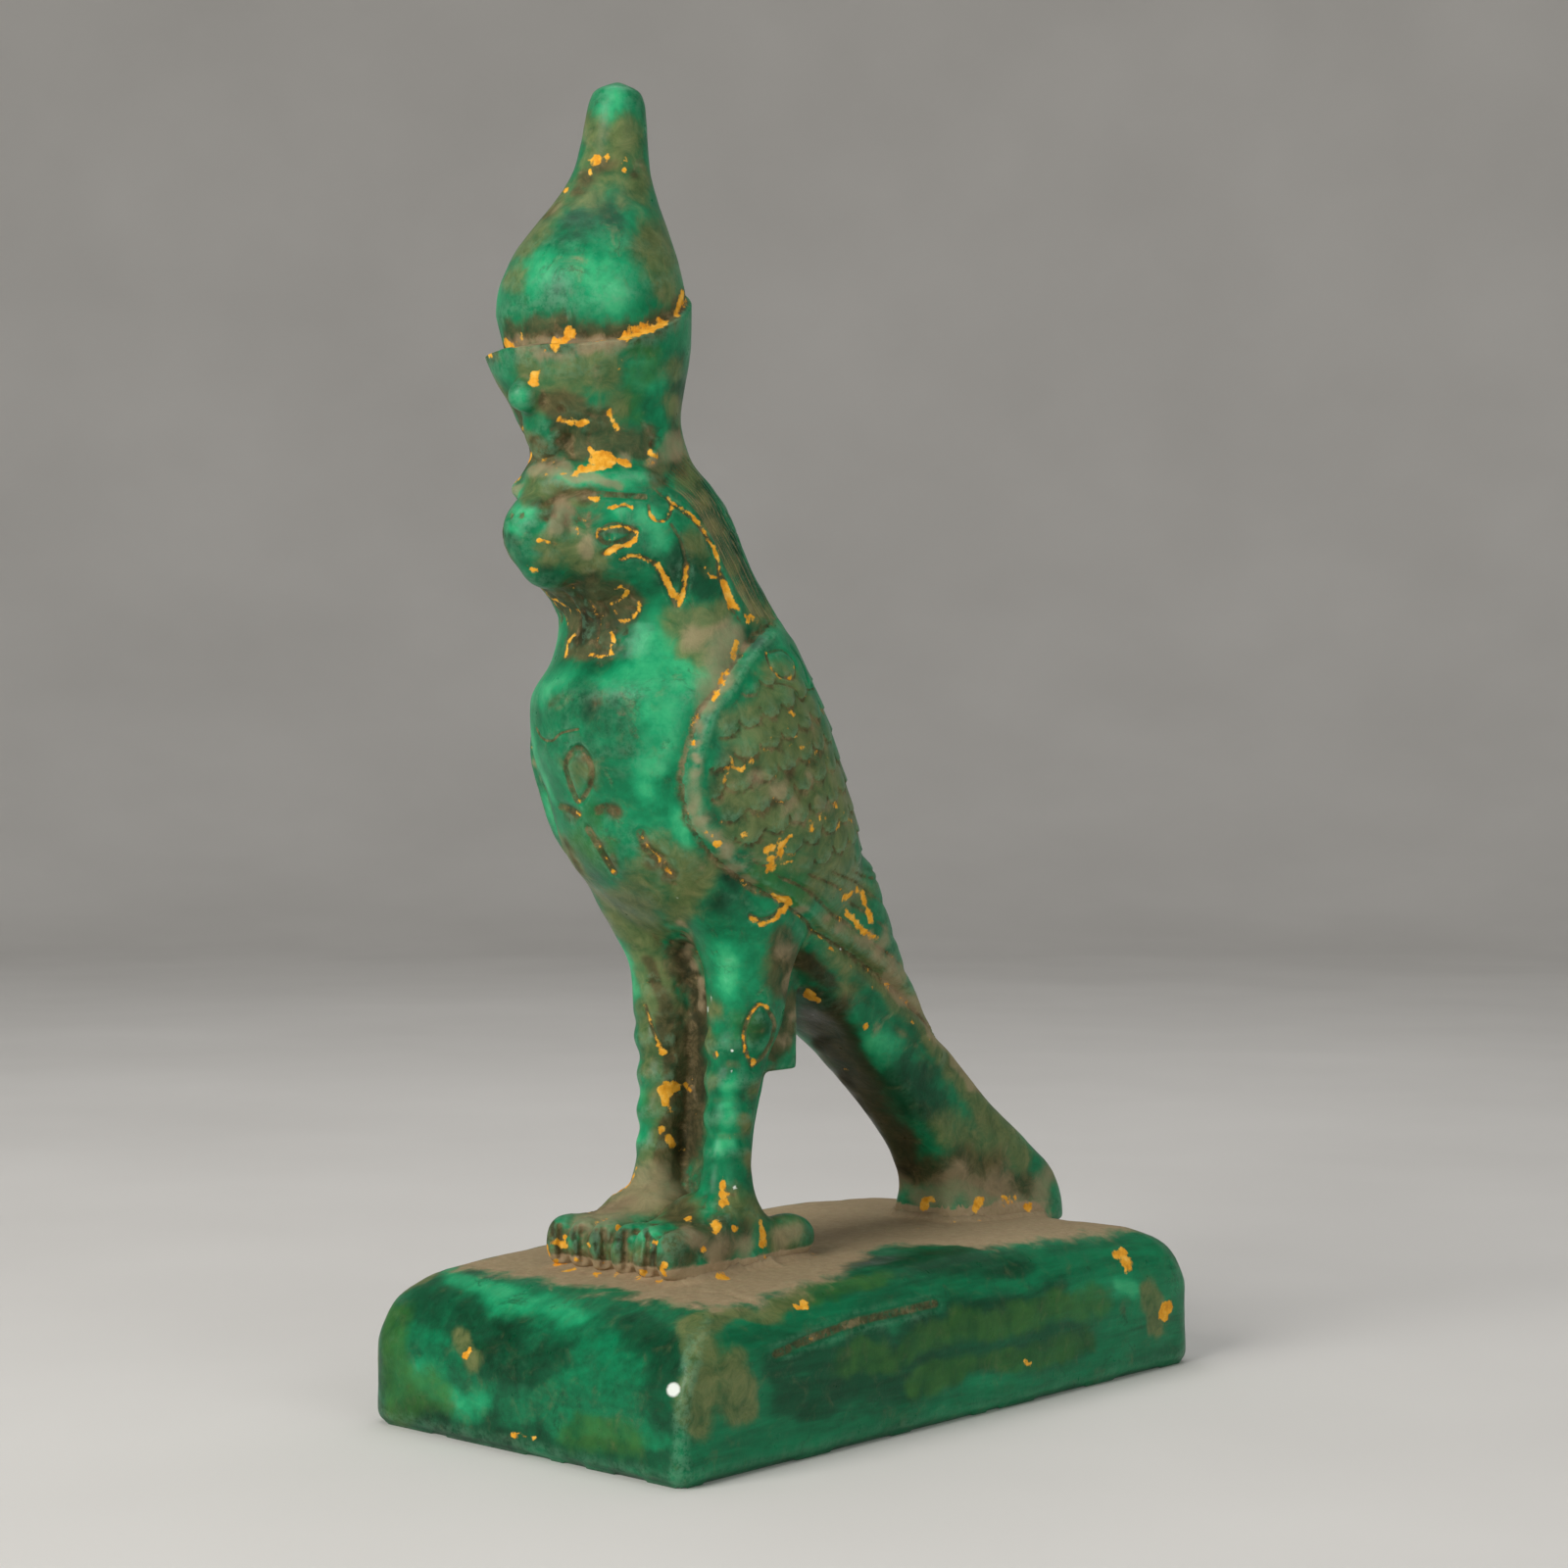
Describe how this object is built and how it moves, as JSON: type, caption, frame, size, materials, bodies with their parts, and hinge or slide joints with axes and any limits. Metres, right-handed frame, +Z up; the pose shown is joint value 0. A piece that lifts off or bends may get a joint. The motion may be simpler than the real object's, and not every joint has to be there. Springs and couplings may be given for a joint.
{
  "type": "falcon deity statuette",
  "caption": "Standing falcon in a tall double crown, carved with its block plinth from one marbled green stone, with folded wings, a tail slanting to the plinth and ochre in the grooves.",
  "frame": {"origin": "centre of the plinth's flat underside", "axes": "+Z up along the figure, -Y the way the falcon faces, X across the plinth"},
  "size_m": [0.05, 0.0927, 0.1497],
  "materials": {
    "green_stone": "worn polish on marbled deep green to mint stone, with tan dust on the upper faces, brown grime in the recesses and ochre yellow left in the grooves"
  },
  "bodies": {
    "root": {"falcon_statue": "green_stone"}
  },
  "joints": []
}
